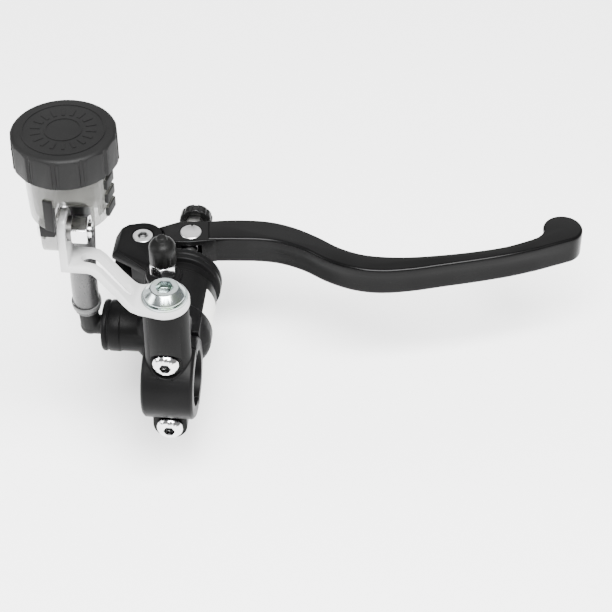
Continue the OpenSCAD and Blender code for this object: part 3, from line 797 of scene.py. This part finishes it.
knuckle_shape = (arc(PIVOT, 9, -17, 48, 12)
                 + [Vector(p) for p in ((-9, 86.2), (-4, 86.9), (0, 87.4), (4.9, 88), (6.7, 85.6),
                                        (7.9, 82.4), (8.4, 79.2), (8.4, 75.6), (-3, 73.2))])
knuckle = slab("lever_knuckle", knuckle_shape, KNUCKLE)
round_rims(knuckle, *KNUCKLE, 0.5)
neck_shape = [Vector(p) for p in ((2, 75.4), (13, 76.4), (13, 88.4), (2, 87))]
neck = slab("lever_neck", neck_shape, (-4.2, 6.8))
tongue_shape = (arc(PIVOT, 7.6, 97, 270, 24) + [Vector((-9, 73.2)), Vector((-9, 84.6))])
tongue = slab("lever_tongue", tongue_shape, TONGUE)
for part in (neck, knuckle, tongue):
    fuse(blade, part)
lever = blade
lever.name = lever.data.name = "hand_lever"
print("fused lever", len(lever.data.polygons), "faces")

# %% [markdown]
# ## Slot and holes in the root
# The pushrod passes through the block, and the block turns about the pivot while the rod stays
# nearly straight. So the slot is wider at two opposite corners, by the angle that the lever turns.
# The pivot's hole and the cross pin's hole are drilled from above.

# %% Slot and holes
# Half the slot's length, half its width, and the lever's full pull in degrees.
REACH, SLOT, PULL = 15, 3.6, 18
PIVOT_BORE, PIN_BORE = 4.52, 4.75
pin_x, pin_y, pin_z = (value / MM for value in pin_centre)


def turned(x, y, degrees):
    """A point turned about the origin."""
    return Matrix.Rotation(math.radians(degrees), 2) @ Vector((x, y))


slot_shape = [Vector((pin_x, pin_y)) + p for p in (
    Vector((-SLOT, -REACH)), turned(SLOT, -REACH, PULL), Vector((SLOT, -1)),
    Vector((SLOT, REACH)), turned(-SLOT, REACH, PULL), Vector((-SLOT, 1)))]
rod_slot = slab("rod_slot", slot_shape, (pin_z - SLOT, pin_z + SLOT))
cut(lever, rod_slot)
for at, radius in ((PIVOT, PIVOT_BORE), (Vector((pin_x, pin_y)), PIN_BORE)):
    cut(lever, cylinder("drill", radius * MM, mm(*at, -20), mm(*at, 20)))
tidy_mesh(lever)
hand_over(lever, "lever", smooth=34)

# %% [markdown]
# ## Softening the machined parts
# No real edge is sharp: coating, tumbling and polishing leave a small radius that catches the
# light. For parts whose shape is already right, the CAD mesh is copied, its doubles are merged, its
# flat faces are joined, and every sharp edge gets a narrow bevel.

# %% Softened copies
def softened(node, width, segments=2, sharper_than=28):
    """A copy of a CAD node with its edges rounded by a width in millimetres."""
    fresh()
    mesh = nodes[node].data.copy()
    piece = bpy.data.objects.new(node + "_piece", mesh)
    bpy.context.collection.objects.link(piece)
    piece.select_set(True)
    bpy.context.view_layer.objects.active = piece
    bpy.ops.object.mode_set(mode="EDIT")
    bpy.ops.mesh.select_all(action="SELECT")
    bpy.ops.mesh.remove_doubles(threshold=0.00003)
    bpy.ops.mesh.dissolve_limited(angle_limit=math.radians(1.2))
    fresh()
    if width:
        round_edges(piece, width * MM, sharper_than, segments)
    return piece


for node, width in (("body", 0.3), ("clamp_cap", 0.3), ("reservoir_bracket", 0.45),
                    ("bracket_bolt", 0.25), ("bracket_washer", 0.2), ("clamp_bolts", 0.15),
                    ("tank_screw", 0.12), ("tank_nut", 0.2), ("pivot_nut", 0.2),
                    ("pivot_bolt", 0.15), ("bleeder_screw", 0.2), ("reservoir_elbow", 0.3),
                    ("adjuster_knob", 0.25), ("barrel_nut", 0.1)):
    hand_over(softened(node, width), node)

# %% [markdown]
# ## The tank's cap
# The cap is moulded: a short round drum with a soft top edge, trimmed to twelve flats for the
# fingers, with a narrow groove at each corner. It is made here the way a pattern maker would: the
# drum is turned first, then trimmed with a twelve-sided prism, then the grooves and the bore are
# cut. Raised rings and short bars fill the top, where the real one carries embossed lettering.

# %% Drum of the cap
cap_low, cap_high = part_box("reservoir_cap")
CAP_X, CAP_Y = (cap_low.x + cap_high.x) / 2 / MM, (cap_low.y + cap_high.y) / 2 / MM
CAP_AT = (CAP_X, CAP_Y)
PATTERN_ROOM = 0.3
CAP_BOTTOM, CAP_TOP = cap_low.z / MM, cap_high.z / MM - PATTERN_ROOM
CAP_R, CAP_TURN, CAP_BORE, CAP_ROOF = 19, 29, 16.66, 2.3


def round_cap(make, turns, reach):
    """Copies of one shape round the cap's axis, as one object."""
    made = []
    for turn in turns:
        angle = math.radians(turn)
        made.append(make((CAP_X + reach * math.cos(angle), CAP_Y + reach * math.sin(angle)), turn))
    return joined(made)


cap = post("tank_cap", CAP_R, CAP_BOTTOM, CAP_TOP, CAP_AT, sides=96)
pick(cap, "EDGE", lambda a, b: min(a.z, b.z) / MM > CAP_TOP - 0.01)
bpy.ops.mesh.bevel(offset=2 * MM, segments=6, clamp_overlap=False)
pick(cap, "EDGE", lambda a, b: max(a.z, b.z) / MM < CAP_BOTTOM + 0.01)
bpy.ops.mesh.bevel(offset=0.5 * MM, segments=2, clamp_overlap=False)
fresh()
print("drum", len(cap.data.polygons), "faces")

# %% [markdown]
# ## Trimming the cap
# The twelve-sided prism keeps only what lies inside it, so its corners stay round where the drum is
# smaller. The grooves lie at those corners. They are twelve bars joined into one tool, because one
# boolean is quicker and safer than twelve.

# %% Flats, grooves and bore
PRISM_R = CAP_R + 0.35
GROOVE_R, GROOVE_REACH = 0.9, CAP_R + 0.4

prism = post("prism", PRISM_R, CAP_BOTTOM - 1, CAP_TOP + 1, CAP_AT, sides=12)
prism.select_set(True)
bpy.ops.object.mode_set(mode="EDIT")
bpy.ops.mesh.select_all(action="SELECT")
bpy.ops.transform.rotate(value=math.radians(-CAP_TURN), orient_axis="Z",
                         center_override=(CAP_X * MM, CAP_Y * MM, 0))
fresh()
apply_modifier(cap, "BOOLEAN", operation="INTERSECT", object=prism, solver="EXACT")
bpy.data.objects.remove(prism)


def groove(at, turn):
    return post("groove", GROOVE_R, CAP_BOTTOM - 1, CAP_TOP + 1, at, sides=20)


cut(cap, round_cap(groove, [CAP_TURN + 30 * k for k in range(12)], GROOVE_REACH))
cut(cap, post("bore", CAP_BORE, CAP_BOTTOM - 1, CAP_TOP - CAP_ROOF, CAP_AT, sides=96))
round_edges(cap, 0.14 * MM, sharper_than=12, segments=2)
print("trimmed cap", len(cap.data.polygons), "faces")

# %% [markdown]
# ## The pattern on the cap
# The pattern stands a quarter of a millimetre proud. It is low and catches little light, as
# moulded lettering does, but says nothing.

# %% Raised pattern
PROUD = 0.26
BAR_SIZE, BAR_MIDDLE = (3.6, 1.2, 0.9), CAP_TOP - 0.21


def bar(at, turn):
    """A small block that points at the cap's axis."""
    fresh()
    bpy.ops.mesh.primitive_cube_add(size=MM, scale=BAR_SIZE, rotation=(0, 0, math.radians(turn)),
                                    location=(at[0] * MM, at[1] * MM, BAR_MIDDLE * MM))
    return named("bar")


for radius in (6.4, 14.6):
    ring = post("ring", radius + 0.35, CAP_TOP - 0.5, CAP_TOP + PROUD, CAP_AT, sides=96)
    cut(ring, post("hole", radius - 0.35, CAP_TOP - 1, CAP_TOP + 1, CAP_AT, sides=96))
    fuse(cap, ring)
fuse(cap, round_cap(bar, range(0, 360, 20), 9.9))
tidy_mesh(cap, gap=0.000002)
hand_over(cap, "reservoir_cap", smooth=30)

# %% [markdown]
# ## The tank
# The tank is one moulding of smoke-clear plastic, so what is inside shows. Thick places look nearly
# black: a rib on the front wall, the top of the screw's lug under it, and the three steps of the
# stop on the right-hand side. The wall keeps its CAD shape with softened edges, and the thick
# places are solid blocks that lie against it.

# %% Tank and its thick places
STOP_TURN, STOP_REACH, STOP_FOOT, STOP_RISE = -10, 15.4, 90.8, 6
STOP_SIZE = (1.5, 7.2, 4.2)

hand_over(softened("reservoir_tank", 0.25), "reservoir_tank")
rib = [block("tank_rib", (-36.7, -18.5, 94.4), (3.8, 2.4, 13.4), turn=-20),
       block("lug_top", (-39.7, -11.4, 83.2), (5.5, 3.8, 7.6))]
hand_over(joined(rib), "reservoir_tank", finish="black_plastic")


def stop_step(k):
    """One step of the stop, at its distance from the tank's axis."""
    angle = math.radians(STOP_TURN)
    at = (CAP_X + STOP_REACH * math.cos(angle), CAP_Y + STOP_REACH * math.sin(angle))
    return block("stop_step_%d" % k, (*at, STOP_FOOT + STOP_RISE * k), STOP_SIZE, turn=STOP_TURN)


hand_over(joined([stop_step(k) for k in range(3)]), "reservoir_tank", finish="black_plastic")

# %% [markdown]
# ## The hose
# The hose runs from the elbow, which leans back, up to the tank's spigot. Held at both ends, it
# takes one smooth curve that leaves each end straight, so a Bezier curve with two points is its
# route. The curve's bevel makes the tube, and Solidify gives it a real wall.

# %% Hose
HOSE_R, HOSE_WALL, HOSE_PULL = 5.2, 1.53, 26
ELBOW_AT, ELBOW_LEG, LEAN = Vector((-36.6, 26, 1.5)), 12, math.radians(12)
SPIGOT_AT, UP = Vector((-31.4, 6.6, 85.4)), Vector((0, 0, 1))

leaning = Vector((0, -math.sin(LEAN), math.cos(LEAN)))
fresh()
bpy.ops.curve.primitive_bezier_curve_add(radius=MM)
curve = bpy.context.object
first, last = curve.data.splines[0].bezier_points
for point, at, pull in ((first, ELBOW_AT + ELBOW_LEG * leaning, leaning), (last, SPIGOT_AT, UP)):
    point.handle_left_type = point.handle_right_type = "FREE"
    point.co = at * MM
    point.handle_left = (at - HOSE_PULL * pull) * MM
    point.handle_right = (at + HOSE_PULL * pull) * MM
curve.data.resolution_u = 48
curve.data.bevel_resolution = 10
curve.data.bevel_depth = HOSE_R * MM
bpy.ops.object.convert(target="MESH")
hose = named("tank_hose")
tidy_mesh(hose)
apply_modifier(hose, "SOLIDIFY", thickness=HOSE_WALL * MM, offset=-1)
hand_over(hose, "fluid_hose", smooth=60)

# %% [markdown]
# ## Rubber, bands and label
# These keep their CAD shapes. The rubber parts are all round, so only their shading is smoothed.

# %% Rubber, bands and label
for node in ("bleeder_cap", "dust_boot"):
    hand_over(softened(node, 0), node, smooth=55)
for node, width in (("hose_clamps", 0.25), ("side_label", 0.03), ("knob_lock_nut", 0.15)):
    hand_over(softened(node, width), node)

# %% [markdown]
# ## The studio
# A pale matt floor lies just under the clamp. It is staged, so it belongs to the picture and not to
# the object.

# %% Floor
FLOOR_Z = cad_bounds[0][2] - 0.03


def studio_floor():
    f = Finish("studio_floor")
    cloud = f.noise(3, detail=2)
    return f.surface(Base_Color=f.mix(cloud, shade(0.93), shade(0.95)), Roughness=0.7 + cloud * 0.1)


bpy.ops.mesh.primitive_plane_add(size=14, location=(0, 0, FLOOR_Z))
floor = bpy.context.object
floor.name = "studio_floor"
floor.data.materials.append(studio_floor())
print("floor at", round(FLOOR_Z / MM), "mm")

# %% [markdown]
# ## The lights
# One big soft light overhead in front, one from the left for the sides of the cap, and a weak wide
# one behind, which the flat top faces mirror. The world's dim white fills what they don't reach.

# %% Lights
def softbox(name, at, aim, size, power):
    """A square area light at a place, turned to face another."""
    facing = (Vector(at) - Vector(aim)).to_track_quat("Z", "Y").to_euler()
    bpy.ops.object.light_add(type="AREA", location=at, rotation=facing)
    light = bpy.context.object
    light.name = name
    light.data.shape = "RECTANGLE"
    light.data.size, light.data.size_y = size
    light.data.energy = power


middle = (0.04, 0.03, 0.04)
softbox("overhead", (0.3, -0.9, 1.7), middle, (1.6, 1.2), 250)
softbox("left", (-1.4, -0.4, 0.6), middle, (0.6, 0.9), 20)
softbox("back", (0.1, 1.9, 1.7), middle, (2.4, 1.5), 22)

world = bpy.data.worlds.new("studio")
world.use_nodes = True
world.node_tree.nodes["Background"].inputs["Color"].default_value = (1, 1, 1, 1)
world.node_tree.nodes["Background"].inputs["Strength"].default_value = 0.35
bpy.context.scene.world = world
